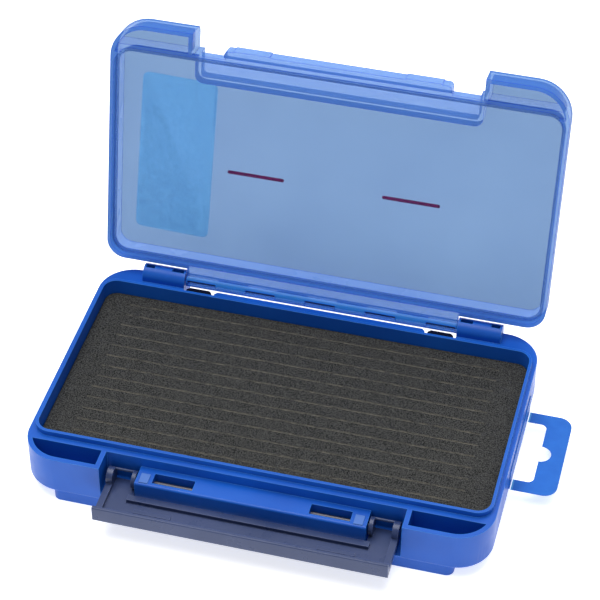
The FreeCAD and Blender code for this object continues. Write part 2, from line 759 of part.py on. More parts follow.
def make_barrel(body):
    """The hinge barrel, slotted from below and from above in turn, on a web from the lid's back wall."""
    web = flat_sketch(body, "hinge_web", "-web_half_thickness")
    rectangle(web, negative(BARREL_HALF), BARREL_HALF, lid_y(f"{LID_BACK} - sink"), "0")
    pad(body, web, "2 * web_half_thickness")
    barrel = end_sketch(body, "barrel", negative(BARREL_HALF))
    circle(barrel, "0", "0", "barrel_radius")
    pad(body, barrel, f"2 * ({BARREL_HALF})")
    hole = end_sketch(body, "barrel_bore", f"{BARREL_HALF} + overrun")
    circle(hole, "0", "0", HINGE_BORE)
    pocket(body, hole, f"2 * ({BARREL_HALF} + overrun)")

    below = flat_sketch(body, "barrel_slots_below", "0")
    above = flat_sketch(body, "barrel_slots_above", "barrel_radius + overrun")
    middle = (BARREL_SEGMENTS - 1) / 2
    for segment in range(BARREL_SEGMENTS):
        start = f"({segment - middle} - 1 / 2) * 2 * {BARREL_HALF} / {BARREL_SEGMENTS}"
        end = f"({segment - middle} + 1 / 2) * 2 * {BARREL_HALF} / {BARREL_SEGMENTS}"
        if segment == 0:
            start = f"-({BARREL_HALF} - barrel_end)"
        if segment == BARREL_SEGMENTS - 1:
            end = f"{BARREL_HALF} - barrel_end"
        sketch = below if segment % 2 == 0 else above
        rectangle(sketch, start, end, negative(HINGE_BORE), HINGE_BORE)
    pocket(body, below, "barrel_radius + overrun")
    pocket(body, above, "barrel_radius + overrun")


def make_lid_room():
    """The hollow of the lid, without the solid that the front notch keeps."""
    under = lid_z("-overrun")
    room = column("lid_room_column", under, lid_z("lid_height - lid_plate"),
                  lambda sketch: room_outline(sketch, "0", HINGE_Y))
    half = f"{NOTCH_HALF} + lid_plate"
    keep = column("lid_notch_column", lid_z(f"{NOTCH_TOP} - lid_plate"), lid_z("lid_height"),
                  lambda sketch: round_rectangle(sketch, negative(half), half, lid_y("lid_front - overrun"),
                                                 lid_y("lid_notch_depth + lid_plate"),
                                                 "lid_notch_radius + lid_plate"))
    return boolean("Cut", "lid_room", room, keep)


def make_lid_seat():
    """The wider hollow at the lid's rim, which closes over the tray's lip."""
    return column("lid_seat", lid_z("-overrun"), SEAT_ROOF,
                  lambda sketch: room_outline(sketch, "(lip_thickness + groove_gap)", HINGE_Y))


def make_lid_pockets():
    """The two hollows at the lid's front corners, and the low gap under the partition behind them."""
    under = lid_z("-overrun")
    ceiling = lid_z("lid_height - lid_plate")
    boxes = [block("lid_partition_gap", negative(HALF_WIDTH), HALF_WIDTH, lid_y("lid_pocket_depth - sink"),
                   lid_y("front_shelf"), under, lid_z("lid_partition_rise"))]
    for side, left, right in both_sides(f"{LID_RECESS_HALF} + lid_wall", HALF_WIDTH):
        boxes.append(block(f"lid_pocket_{side}", left, right, lid_y("0"), lid_y("lid_pocket_depth"), under, ceiling))
    whole = column("lid_pocket_column", under, ceiling, lambda sketch: lid_outline(sketch, "lid_wall"))
    return boolean("Common", "lid_pockets", whole, joined("lid_pocket_boxes", boxes))


def make_gasket():
    """The flat seal under the step of the lid's wall, over the tray's lip."""
    body = doc.addObject("PartDesign::Body", "gasket_form")
    outline = flat_sketch(body, "gasket_outline", lid_z("lip_height + gasket_gap"))
    room_outline(outline, "(lip_thickness + groove_gap - gasket_side_gap)", HINGE_Y)
    room_outline(outline, "gasket_side_gap", HINGE_Y)
    pad(body, outline, "gasket_thickness")
    return body


def make_label():
    """The blank sticker on the lid's outside, a little askew."""
    body = doc.addObject("PartDesign::Body", "label_form")
    outline = flat_sketch(body, "label_outline", lid_z("lid_height"))
    outline.AttachmentOffset = FreeCAD.Placement(V(), FreeCAD.Rotation(V(0, 0, 1), number("label_angle")))
    bind(outline, ".AttachmentOffset.Base.x", f"label_side_inset - {HALF_WIDTH}")
    bind(outline, ".AttachmentOffset.Base.y", lid_y(f"{LID_BACK} - label_back_inset"))
    bind(outline, ".AttachmentOffset.Base.z", lid_z("lid_height"))
    bind(outline, ".AttachmentOffset.Rotation.Angle", "label_angle")
    round_rectangle(outline, "-label_width / 2", "label_width / 2", "-label_length / 2", "label_length / 2",
                    "label_radius")
    pad(body, outline, "label_thickness")
    return body


# Lever, drawn closed from the latch pins' axis

def make_lever():
    """The latch lever: plate, top flange, side strips, step, low pads and four ears with two bars between them."""
    body = doc.addObject("PartDesign::Body", "lever_form")
    face = "-lever_face"
    back = "-(lever_face + lever_thickness)"
    flange_edge = f"{face} + flange_reach"
    flange_low = f"{LEVER_LENGTH} - flange_thickness"
    outer_ear = f"({LEVER_HALF} - outer_ear_width)"

    plate = flat_sketch(body, "lever_plate", LEVER_ROOT)
    rectangle(plate, negative(LEVER_HALF), LEVER_HALF, back, face)
    pad(body, plate, f"{LEVER_LENGTH} - {LEVER_ROOT}")
    flange = flat_sketch(body, "lever_flange", flange_low)
    rectangle(flange, negative(LEVER_HALF), LEVER_HALF, back, flange_edge)
    pad(body, flange, "flange_thickness")
    for place, edge in (("outer", back), ("inner", flange_edge)):
        soften(body, f"flange_round_{place}", "Fillet", "flange_round", (negative(LEVER_HALF), edge, LEVER_LENGTH),
               (LEVER_HALF, edge, LEVER_LENGTH))

    roots = flat_sketch(body, "lever_roots", "-ear_root")
    rectangle_pair(roots, INNER_EAR, LEVER_HALF, back, face)
    pad(body, roots, f"{LEVER_ROOT} + sink + ear_root")
    strips = flat_sketch(body, "lever_strips", "0")
    rectangle_pair(strips, outer_ear, LEVER_HALF, back, f"{face} + lever_edge_rise")
    pad(body, strips, f"{flange_low} + sink")
    step = flat_sketch(body, "lever_step", LEVER_ROOT)
    step_half = f"({BLOCK_HALF} + step_overlap)"
    rectangle(step, negative(step_half), step_half, back, f"{face} + step_rise")
    pad(body, step, "step_length")
    relief = flat_sketch(body, "lever_relief", f"{LEVER_ROOT} + step_length + relief_width")
    rectangle(relief, negative(step_half), step_half, f"{face} - relief_depth", f"{face} + overrun")
    pocket(body, relief, "relief_width")
    pads = flat_sketch(body, "lever_pads", f"{flange_low} - lever_pad_drop - lever_pad_height")
    pad_end = f"({BLOCK_HALF} - lever_pad_inset)"
    rectangle_pair(pads, f"{pad_end} - lever_pad_length", pad_end, f"{face} - sink", f"{face} + lever_pad_rise")
    pad(body, pads, "lever_pad_height")

    for place, start, width in (("inner", INNER_EAR, "ear_width"), ("outer", outer_ear, "outer_ear_width")):
        for side, left, right in both_sides(start, f"{start} + {width}"):
            ear = end_sketch(body, f"ear_{place}_{side}", left)
            circle(ear, "0", "0", "ear_radius")
            pad(body, ear, width)
    for side, left, right in both_sides(INNER_EAR, LEVER_HALF):
        bar = end_sketch(body, f"ear_bar_{side}", left)
        circle(bar, f"{EAR_BAR_REACH} * cos(ear_bar_angle)", f"-{EAR_BAR_REACH} * sin(ear_bar_angle)",
               "ear_bar_radius")
        pad(body, bar, f"{LEVER_HALF} - {INNER_EAR}")
    for side, left, right in both_sides(f"{INNER_EAR} - sink", f"{PIN_END} + pin_clearance"):
        hole = end_sketch(body, f"ear_bore_{side}", right)
        circle(hole, "0", "0", LATCH_BORE)
        pocket(body, hole, f"{PIN_END} + pin_clearance - {INNER_EAR} + sink")
    return body


# The whole box, from the middle of the surface that it stands on

def in_place(name, item, y_place, z_place, axis, turn):
    """A node: a piece moved from its own frame to the box's, and turned about its own X axis."""
    node = doc.addObject("Part::Compound", name)
    node.Links = [item]
    node.Placement = FreeCAD.Placement(V(), FreeCAD.Rotation(axis, number(turn)))
    bind(node, ".Placement.Base.y", f"{y_place} - tray_depth / 2")
    bind(node, ".Placement.Base.z", z_place)
    bind(node, ".Placement.Rotation.Angle", turn)
    node.Label = name
    return node


def on_tray(name, item):
    return in_place(name, item, "0", "0", V(1, 0, 0), "0")


def on_hinge(name, item):
    return in_place(name, item, HINGE_Y, HINGE_Z, V(-1, 0, 0), "lid_open_angle")


def on_latch(name, item):
    return in_place(name, item, "latch_axis_y", LATCH_Z, V(1, 0, 0), "lever_open_angle")


nodes = [
    on_tray("base_shell", make_tray()),
    on_tray("slit_foam", make_foam()),
    on_tray("foam_adhesive", make_glue()),
    on_tray("hinge_pin", make_hinge_pin()),
    on_tray("latch_pins", make_latch_pins()),
    on_tray("stop_bumpers", make_bumpers()),
    on_tray("hang_tab_patch", make_tab_patch()),
    on_tray("hang_tab_loop", make_tab_loop()),
    on_hinge("lid_shell", make_lid()),
    on_hinge("lid_gasket", make_gasket()),
    on_hinge("lid_label", make_label()),
    on_latch("latch_lever", make_lever()),
]
doc.recompute()

for item in doc.Objects:
    if "Invalid" in item.State or "Error" in item.State:
        raise RuntimeError(f"{item.Name} failed: {item.State}")
for node in nodes:
    if node.Shape.isNull() or not node.Shape.isValid():
        raise RuntimeError(f"{node.Label} has no valid shape")

os.makedirs("parts", exist_ok=True)
for node in nodes:
    shape = node.Shape
    box = shape.BoundBox
    shape.exportStep(f"parts/{node.Label}.step")
    print(f"{node.Label}: {len(shape.Solids)} solid(s), {shape.Volume:.0f} mm3, x {box.XMin:.1f} to {box.XMax:.1f}, "
          f"y {box.YMin:.1f} to {box.YMax:.1f}, z {box.ZMin:.1f} to {box.ZMax:.1f}")
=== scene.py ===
# %% [markdown]
# # Waterproof fly box
#
# This lesson dresses a flat fishing fly box: a blue tray with slit foam, a clear blue lid that
# stands open on a steel hinge pin, and a grey-blue snap latch at the front. The measured solids
# come in as a fixed frame. Each step adds one piece or one finish on top of them.

# %% Load the measured solids
import json
from math import cos, radians, sin

import bmesh
import bpy
from mathutils import Matrix, Vector


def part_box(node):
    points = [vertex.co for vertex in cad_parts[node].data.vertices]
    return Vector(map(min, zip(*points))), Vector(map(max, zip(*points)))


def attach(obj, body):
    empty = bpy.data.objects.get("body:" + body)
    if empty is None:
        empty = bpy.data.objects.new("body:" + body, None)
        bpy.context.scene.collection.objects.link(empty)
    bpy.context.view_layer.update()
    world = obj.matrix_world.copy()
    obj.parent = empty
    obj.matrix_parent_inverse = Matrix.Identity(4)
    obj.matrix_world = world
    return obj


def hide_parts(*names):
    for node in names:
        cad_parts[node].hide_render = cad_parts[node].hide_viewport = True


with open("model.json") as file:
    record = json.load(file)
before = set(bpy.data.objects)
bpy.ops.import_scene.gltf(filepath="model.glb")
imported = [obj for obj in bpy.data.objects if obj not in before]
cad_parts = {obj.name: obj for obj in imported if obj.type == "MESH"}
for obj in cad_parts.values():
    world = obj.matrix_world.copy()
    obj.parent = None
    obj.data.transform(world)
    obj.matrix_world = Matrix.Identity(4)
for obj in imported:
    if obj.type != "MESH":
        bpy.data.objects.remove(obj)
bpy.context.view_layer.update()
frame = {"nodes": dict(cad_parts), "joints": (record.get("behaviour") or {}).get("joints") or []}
print("solids:", sorted(frame["nodes"]))

# %% [markdown]
# Sizes on a small moulded box are easiest to think about in millimetres, while Blender works in
# metres. So every length on the box is a number of millimetres times one value, MM. Only the
# floor and the lamps, which stand far around it, are given in metres.

# %% Millimetres
MM = 0.001

# %% [markdown]
# Operators act on whatever is selected, and the loaded solids arrive selected. So every step
# starts by selecting only its own object. Faces and edges are picked by where they lie, because
# that still works after a size changes, which a list of numbers wouldn't.

# %% Selecting one object, and parts of it
SELECT_MODES = {"verts": "VERT", "edges": "EDGE", "faces": "FACE"}


def select_only(piece):
    """Leaves one object selected and active."""
    bpy.ops.object.select_all(action="DESELECT")
    piece.select_set(True)
    bpy.context.view_layer.objects.active = piece


def select_where(piece, kind, test):
    """In edit mode, selects the verts, edges or faces that pass a test, and counts them."""
    bpy.ops.mesh.select_mode(type=SELECT_MODES[kind])
    bpy.ops.mesh.select_all(action="DESELECT")
    shape = bmesh.from_edit_mesh(piece.data)
    for part in getattr(shape, kind):
        corners = [part] if kind == "verts" else part.verts
        middle = sum((corner.co for corner in corners), Vector()) / len(corners)
        if test(part, middle):
            part.select_set(True)
    shape.select_flush_mode()
    bmesh.update_edit_mesh(piece.data)
    return sum(part.select for part in getattr(shape, kind))


print("selected after loading:", len(bpy.context.selected_objects))

# %% [markdown]
# The tray, the lid and the latch are already the right shape, but their meshes are loose
# triangles with flat shading. A welded copy of each one can be shaded smoothly, so that the
# moulded corners read as round. Welding joins corners that share a place, and a limited dissolve
# turns flat fans of triangles back into clean faces.

# %% Welded copies of the solids
WELD = 0.004 * MM
FLAT_ANGLE = radians(0.3)
SMOOTH_ANGLE = radians(32)


def welded_copy(node, name, body):
    """A merged, smooth-shaded copy that stands for one solid and rides on its body."""
    piece = bpy.data.objects.new(name, frame["nodes"][node].data.copy())
    bpy.context.scene.collection.objects.link(piece)
    select_only(piece)
    bpy.ops.object.mode_set(mode="EDIT")
    bpy.ops.mesh.select_all(action="SELECT")
    bpy.ops.mesh.remove_doubles(threshold=WELD)
    bpy.ops.mesh.dissolve_limited(angle_limit=FLAT_ANGLE, delimit={"NORMAL"})
    bpy.ops.mesh.customdata_custom_splitnormals_clear()
    bpy.ops.object.mode_set(mode="OBJECT")
    bpy.ops.object.shade_smooth_by_angle(angle=SMOOTH_ANGLE)
    piece.data.materials.clear()
    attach(piece, body)
    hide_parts(node)
    print(name, "has", len(piece.data.polygons), "faces")
    return piece


tray = welded_copy("base_shell", "moulded_tray", "base")
lid = welded_copy("lid_shell", "clear_lid", "lid")
lever = welded_copy("latch_lever", "snap_lever", "latch")
# The bars behind the hinge are blue flange plastic lying in deep shade; they get a near-black painted
# shade.
painted_shade_bars = welded_copy("stop_bumpers", "stop_bars", "base")
gasket = welded_copy("lid_gasket", "seal_ring", "lid")
label = welded_copy("lid_label", "blank_label", "lid")
patch = welded_copy("hang_tab_patch", "stuck_tab_half", "base")
loop = welded_copy("hang_tab_loop", "hanging_tab_half", "tab")
hinge_pin = welded_copy("hinge_pin", "hinge_wire", "base")
latch_pins = welded_copy("latch_pins", "latch_wires", "base")

# %% [markdown]
# The foam is a block of closed-cell foam cut to the tray's room. It could be made from the
# solid, but a soft block needs its own faces: rounded corners, a softened top edge, and slits
# whose lips stand slightly proud where the blade has gone through. It starts as a cube of the
# room's size, and the upright edges are bevelled to the room's corner radius.

# %% Foam block with rounded corners
FOAM_CORNER = 5.3 * MM
FOAM_CORNER_STEPS = 12
FOAM_EDGE = 0.7 * MM
FOAM_EDGE_STEPS = 4
FACING_UP = 0.9

foam_low, foam_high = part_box("slit_foam")


def runs_upright(edge, middle):
    """Whether an edge runs straight up."""
    start, end = (vert.co for vert in edge.verts)
    return (end - start).xy.length < WELD


def rounded_block(name, low, high, corner, corner_steps):
    """A box with rounded upright edges, left in edit mode."""
    bpy.ops.object.select_all(action="DESELECT")
    bpy.ops.mesh.primitive_cube_add(size=1, location=(low + high) / 2, scale=high - low)
    piece = bpy.context.object
    piece.name = name
    bpy.ops.object.transform_apply(location=True, rotation=True, scale=True)
    bpy.ops.object.mode_set(mode="EDIT")
    select_where(piece, "edges", runs_upright)
    bpy.ops.mesh.bevel(offset=corner, segments=corner_steps, affect="EDGES")
    return piece


foam = rounded_block("slit_foam_block", foam_low, foam_high, FOAM_CORNER, FOAM_CORNER_STEPS)
select_where(foam, "faces", lambda face, middle: face.normal.z > FACING_UP)
bpy.ops.mesh.region_to_loop()
bpy.ops.mesh.bevel(offset=FOAM_EDGE, segments=FOAM_EDGE_STEPS, affect="EDGES")
bpy.ops.object.mode_set(mode="OBJECT")
print("foam block:", [round(size / MM, 1) for size in foam.dimensions])

# %% [markdown]
# Thirteen straight slits run along the foam. Bisecting the block cuts a line across it at each
# side of a slit, and a second line a little further out, so that each slit gets two lips. Two
# more cuts mark where the slits end. The slits' edges are lifted a hair, as on cut foam, and the
# narrow faces between them are then pushed down with an extrude.

# %% Cut the slits
SLIT_COUNT = 13
SLIT_WIDTH = 0.2 * MM
SLIT_DEPTH = 7.0 * MM
SLIT_FRONT_MARGIN = 8.65 * MM
SLIT_BACK_MARGIN = 6.3 * MM
SLIT_END_MARGIN = 11.8 * MM
LIP_WIDTH = 0.3 * MM
LIP_RISE = 0.1 * MM
TOP_LAYER = 1.0 * MM
CORNER_SLACK = 0.01 * MM
END_SLACK_SHARE = 0.9999

slit_first = foam_low.y + SLIT_FRONT_MARGIN
slit_pitch = (foam_high.y - SLIT_BACK_MARGIN - slit_first) / (SLIT_COUNT - 1)
slit_rows = [slit_first + row * slit_pitch for row in range(SLIT_COUNT)]
slit_half_length = foam_high.x - SLIT_END_MARGIN
slit_half_width = SLIT_WIDTH / 2
lip_reach = slit_half_width + LIP_WIDTH


def cut_across(axis, place):
    """Bisects the whole mesh at one place along an axis."""
    normal = Vector((axis == "x", axis == "y", 0))
    bpy.ops.mesh.select_all(action="SELECT")
    bpy.ops.mesh.bisect(plane_co=normal * place, plane_no=normal)


def on_slit(middle, reach):
    """Whether a point near the foam's top lies within reach of a slit's middle line."""
    near = min(abs(middle.y - row) for row in slit_rows) < reach
    return near and abs(middle.x) < slit_half_length and middle.z > foam_high.z - TOP_LAYER


def on_slit_corner(vert, middle):
    """Whether a corner lies on a slit's edge, the corners at its very ends included."""
    return on_slit(middle * END_SLACK_SHARE, slit_half_width + CORNER_SLACK)


select_only(foam)
bpy.ops.object.mode_set(mode="EDIT")
for row in slit_rows:
    for offset in (-lip_reach, -slit_half_width, slit_half_width, lip_reach):
        cut_across("y", row + offset)
for end in (-slit_half_length, slit_half_length):
    cut_across("x", end)
lip_corners = select_where(foam, "verts", on_slit_corner)
bpy.ops.transform.translate(value=(0, 0, LIP_RISE))
select_where(foam, "faces", lambda face, middle: on_slit(middle, slit_half_width))
bpy.ops.mesh.extrude_region_move(TRANSFORM_OT_translate={"value": (0, 0, -SLIT_DEPTH)})
bpy.ops.object.mode_set(mode="OBJECT")
bpy.ops.object.shade_smooth_by_angle(angle=SMOOTH_ANGLE)
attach(foam, "base")
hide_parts("slit_foam")
print("slits:", len(slit_rows), "lip corners:", lip_corners)

# %% [markdown]
# Two dark red lines are printed on the outside of the lid. Ink has almost no thickness, so each
# line is a very thin bar with round ends, set halfway into the plastic's face so that no two
# faces share a place. It is made lying flat over the closed lid, where its place is easy to
# give, and is then turned up with the lid about the hinge. One function makes both lines, each
# with its own mesh.

# %% Printed lines on the lid
LINE_LENGTH = 24.6 * MM
LINE_WIDTH = 1.6 * MM
LINE_CORNER_SHARE = 0.45
LINE_CORNER_STEPS = 4
INK_THICKNESS = 0.04 * MM
LINE_MIDDLES = {"left": -33.9 * MM, "right": 32.8 * MM}
LINE_FROM_HINGE = 49.1 * MM
LID_TOP_OVER_HINGE = 10.4 * MM

joints = {joint["name"]: joint for joint in frame["joints"]}
hinge = Vector(joints["lid_hinge"]["pos_m"])
lid_angle = radians(joints["lid_hinge"]["range_deg"][1])
lid_turn = Matrix.Translation(hinge) @ Matrix.Rotation(-lid_angle, 4, "X")


def printed_line(name, middle):
    """One rounded bar of ink on the lid's outer face."""
    low = Vector((middle - LINE_LENGTH / 2, -LINE_FROM_HINGE - LINE_WIDTH / 2,
                  LID_TOP_OVER_HINGE - INK_THICKNESS / 2))
    high = low + Vector((LINE_LENGTH, LINE_WIDTH, INK_THICKNESS))
    line = rounded_block(name, low, high, LINE_WIDTH * LINE_CORNER_SHARE, LINE_CORNER_STEPS)
    bpy.ops.object.mode_set(mode="OBJECT")
    line.data.transform(lid_turn)
    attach(line, "lid")
    return line


lines = [printed_line(f"printed_line_{side}", middle) for side, middle in LINE_MIDDLES.items()]
print("printed lines:", [line.name for line in lines])

# %% [markdown]
# Every finish below is built from nodes. Adding a node, setting what it needs and linking it by
# hand takes many lines, so two short helpers do it: one feeds a row of inputs, and one adds a
# node and feeds its inputs by name. Colours are written as they look on a screen, and a third
# helper turns them into the linear ones that shaders use.

# %% Adding and feeding nodes
def feed(tree, sockets, values):
    """Feeds each socket with another node's output or with a plain value."""
    for socket, value in zip(sockets, values):
        if isinstance(value, bpy.types.NodeSocket):
            tree.links.new(value, socket)
        else:
            socket.default_value = value


def add_node(tree, kind, settings=None, **inputs):
    """A node with some of its inputs fed; an underscore in a name stands for a space."""
    node = tree.nodes.new("ShaderNode" + kind)
    for setting, value in (settings or {}).items():
        setattr(node, setting, value)
    feed(tree, [node.inputs[name.replace("_", " ")] for name in inputs], inputs.values())
    return node


def combine(tree, operation, first, second, kind="Math"):
    """The result of one arithmetic step on two values, or on two directions."""
    node = add_node(tree, kind, {"operation": operation})
    feed(tree, node.inputs, (first, second))
    return node.outputs["Value"]


def srgb(red, green, blue):
    """A screen colour, 0 to 255, as the linear colour that shaders use."""
    parts = [value / 255 for value in (red, green, blue)]
    linear = [part / 12.92 if part <= 0.04045 else ((part + 0.055) / 1.055) ** 2.4 for part in parts]
    return (*linear, 1.0)


print("screen grey 128 is", round(srgb(128, 128, 128)[0], 3), "in a shader")

# %% [markdown]
# No real surface is one flat value. So colour, gloss and relief all come from noise, which reads
# Object coordinates: the pattern then has a real size, and it stays put when the piece moves.
# Noise hardly ever leaves the middle of its range, so that band is stretched over the wanted one.

# %% Noise and blends
NOISE_BAND = (0.3, 0.7)


def noise(tree, size, detail=3.0, roughness=0.55, stretch=(1, 1, 1)):
    """Noise whose blobs are about this long, in metres."""
    place = add_node(tree, "TexCoord").outputs["Object"]
    scaled = add_node(tree, "Mapping", Vector=place, Scale=stretch)
    texture = add_node(tree, "TexNoise", Vector=scaled.outputs["Vector"], Scale=1 / size,
                       Detail=detail, Roughness=roughness)
    return texture.outputs["Fac"]


def spread(tree, value, low, high, out_low=0.0, out_high=1.0):
    """Stretches part of a value's range over another range."""
    node = add_node(tree, "MapRange", Value=value, From_Min=low, From_Max=high,
                    To_Min=out_low, To_Max=out_high)
    return node.outputs["Result"]


def sway(tree, value, middle, swing):
    """Noise turned into a value that sways about a middle one."""
    return spread(tree, value, *NOISE_BAND, middle + swing[0], middle + swing[1])


def wander(tree, size, middle, swing, detail=3.0):
    """A value that sways about a middle one in patches of one size."""
    return sway(tree, noise(tree, size, detail), middle, swing)


def blend_colours(tree, share, first, second):
    """A colour between two others; share is how much of the second shows."""
    node = add_node(tree, "Mix", {"data_type": "RGBA"}, Factor=share)
    feed(tree, [socket for socket in node.inputs if socket.type == "RGBA"], (first, second))
    return [socket for socket in node.outputs if socket.type == "RGBA"][0]


def blend_shaders(tree, share, first, second):
    """A surface between two others; share is how much of the second shows."""
    node = add_node(tree, "MixShader", Fac=share)
    feed(tree, node.inputs[1:], (first, second))
    return node.outputs["Shader"]


print("noise is stretched from", NOISE_BAND)

# %% [markdown]
# A material starts as an empty tree of nodes, and ends with one surface that goes to its output.
# Moulded edges are never razor sharp, but rounding them all in the mesh would cost many faces. A
# Bevel node rounds them in the shading only. Where its normal leaves the true one there is an
# edge, so the same node also places painted highlights and painted shade along edges.

# %% Starting a finish, and finding edges
EDGE_SAMPLES = 6


def new_finish(name):
    """A material with an empty node tree."""
    material = bpy.data.materials.new(name)
    material.use_nodes = True
    material.node_tree.nodes.clear()
    return material, material.node_tree


def show_surface(tree, surface):
    """Sends a finished surface to the material's output."""
    output = tree.nodes.new("ShaderNodeOutputMaterial")
    tree.links.new(surface, output.inputs["Surface"])


def rounded_normal(tree, radius):
    """A normal that turns smoothly round sharp edges."""
    return add_node(tree, "Bevel", {"samples": EDGE_SAMPLES}, Radius=radius).outputs["Normal"]


def bumpy_normal(tree, height, strength, distance, **inputs):
    """A normal that follows a relief of this depth."""
    relief = add_node(tree, "Bump", Height=height, Strength=strength, Distance=distance, **inputs)
    return relief.outputs["Normal"]


def on_edges(tree, radius, low, high):
    """1 beside a sharp edge and 0 on open faces: where a rounded normal leaves the true one."""
    true_normal = add_node(tree, "NewGeometry").outputs["Normal"]
    along = combine(tree, "DOT_PRODUCT", rounded_normal(tree, radius), true_normal, "VectorMath")
    return spread(tree, along, high, low)


def dress(piece, *materials):
    """Gives a piece its materials; all faces wear the first one until others are given out."""
    piece.data.materials.clear()
    for material in materials:
        piece.data.materials.append(material)


def set_faces(piece, index, test):
    """Gives one of a piece's materials to the faces whose middle and normal pass a test."""
    count = 0
    for face in piece.data.polygons:
        if test(face.center, face.normal):
            face.material_index = index
            count += 1
    return count


print("samples for a rounded edge:", EDGE_SAMPLES)

# %% [markdown]
# The tray and the latch are moulded in opaque plastic. Real mouldings are never one flat colour:
# the pigment drifts a little, the surface has a faint orange peel, and handling leaves patches
# with a different gloss. All three come from noise of different sizes. Along sharp edges a
# paler colour is painted in as a highlight.

# %% Moulded plastic
PIGMENT_PATCH = 35 * MM
PIGMENT_BAND = (0.35, 0.65)
HANDLING_PATCH = 9 * MM
HANDLING_SWING = (-0.06, 0.08)
ORANGE_PEEL = 0.7 * MM
PEEL_DEPTH = 0.02 * MM
PEEL_STRENGTH = 0.12
MOULDED_EDGE = 0.3 * MM
PAINTED_HIGHLIGHT_REACH = 0.5 * MM
PAINTED_HIGHLIGHT_BAND = (0.8, 0.99)
PAINTED_HIGHLIGHT_SHARE = 0.75

TRAY_BLUE = srgb(20, 92, 192)
TRAY_DEEP_BLUE = srgb(14, 82, 180)
# Painted highlight colour for the tray's sharp edges.
TRAY_PAINTED_HIGHLIGHT_BLUE = srgb(56, 142, 232)
LATCH_GREY_BLUE = srgb(54, 68, 108)
LATCH_DEEP_BLUE = srgb(48, 62, 100)
# Painted highlight colour for the latch's sharp edges.
LATCH_PAINTED_HIGHLIGHT_BLUE = srgb(84, 98, 142)
# Near-black navy painted as shade on the bars behind the hinge.
BAR_PAINTED_SHADE_NAVY = srgb(8, 14, 38)
BAR_DEEP_PAINTED_SHADE_NAVY = srgb(6, 11, 32)


def moulded_plastic(name, colour, deep_colour, painted_highlight_colour, roughness, gloss=0.3):
    """Opaque plastic with drifting pigment, orange peel, handling marks and a painted edge highlight.
    """
    material, tree = new_finish(name)
    drift = spread(tree, noise(tree, PIGMENT_PATCH), *PIGMENT_BAND)
    pigment = blend_colours(tree, drift, colour, deep_colour)
    # Painted highlight: a paler colour along sharp edges, where the light catches them.
    painted_edge_highlight = combine(tree, "MULTIPLY", on_edges(tree, PAINTED_HIGHLIGHT_REACH, *PAINTED_HIGHLIGHT_BAND), PAINTED_HIGHLIGHT_SHARE)
    tint = blend_colours(tree, painted_edge_highlight, pigment, painted_highlight_colour)
    handling = wander(tree, HANDLING_PATCH, roughness, HANDLING_SWING, detail=6)
    normal = bumpy_normal(tree, noise(tree, ORANGE_PEEL, detail=2), PEEL_STRENGTH, PEEL_DEPTH,
                          Normal=rounded_normal(tree, MOULDED_EDGE))
    shader = add_node(tree, "BsdfPrincipled", Base_Color=tint, Roughness=handling,
                      Normal=normal, Specular_IOR_Level=gloss)
    show_surface(tree, shader.outputs["BSDF"])
    return material


dress(tray, moulded_plastic("tray_blue_plastic", TRAY_BLUE, TRAY_DEEP_BLUE, TRAY_PAINTED_HIGHLIGHT_BLUE,
                            roughness=0.38))
dress(lever, moulded_plastic("latch_grey_blue_plastic", LATCH_GREY_BLUE, LATCH_DEEP_BLUE,
                             LATCH_PAINTED_HIGHLIGHT_BLUE, roughness=0.3, gloss=0.4))
# Painted shade: the bars are coloured near-black navy for the deep shade they lie in.
dress(painted_shade_bars, moulded_plastic("dark_bar_plastic", BAR_PAINTED_SHADE_NAVY, BAR_DEEP_PAINTED_SHADE_NAVY, BAR_PAINTED_SHADE_NAVY,
                               roughness=0.5, gloss=0.1))
print("plastics on", tray.name, lever.name, painted_shade_bars.name)

# %% [markdown]
# The pin block carries two small raised pads that have been rubbed pale. They are part of the
# tray, so they only need a second material on the faces of the pads. The faces are found by
# their place: each one lies on the block, above its flat top.

# %% Rubbed pads on the pin block
PAD_INNER = 41.3 * MM
PAD_OUTER = 45.4 * MM
BLOCK_TOP = 18.35 * MM
PAD_LAYER = 1.0 * MM
RECESS_BACK = -48.8 * MM

PAD_BLUE = srgb(84, 124, 196)
PAD_DEEP_BLUE = srgb(74, 114, 188)


def on_pad(middle, normal):
    """Whether a face belongs to one of the two pads."""
    on_block = PAD_INNER < abs(middle.x) < PAD_OUTER and middle.y < RECESS_BACK
    return on_block and BLOCK_TOP < middle.z < BLOCK_TOP + PAD_LAYER


tray.data.materials.append(
    moulded_plastic("rubbed_blue_plastic", PAD_BLUE, PAD_DEEP_BLUE, PAD_BLUE, roughness=0.42))
print("pad faces:", set_faces(tray, 1, on_pad))

# %% [markdown]
# The lid is clear plastic dyed blue. Real refraction would cost a lot of light paths and would
# darken the foam behind it, so the lid is a blend: most of what is behind it shows through,
# tinted, and a thin layer of glossy plastic lies over it. Beside sharp edges a painted shade
# makes the blue deeper and denser, and a share of the skin lets light glow through from its far side.

# %% Clear blue plastic
HAZE_PATCH = 22 * MM
HAZE_SWING = (-0.05, 0.08)
DYE_PATCH = 40 * MM
DYE_SWING = (-0.02, 0.03)
CLEAR_RIPPLE = 1.6 * MM
RIPPLE_DEPTH = 0.02 * MM
RIPPLE_STRENGTH = 0.08
CLEAR_EDGE = 0.25 * MM
PAINTED_SHADE_REACH = 0.6 * MM
PAINTED_SHADE_BAND = (0.85, 0.995)
RIM_BLEND = 0.18
# Deeper blue painted as shade beside the lid's sharp edges.
PAINTED_EDGE_SHADE_BLUE = srgb(36, 92, 224)


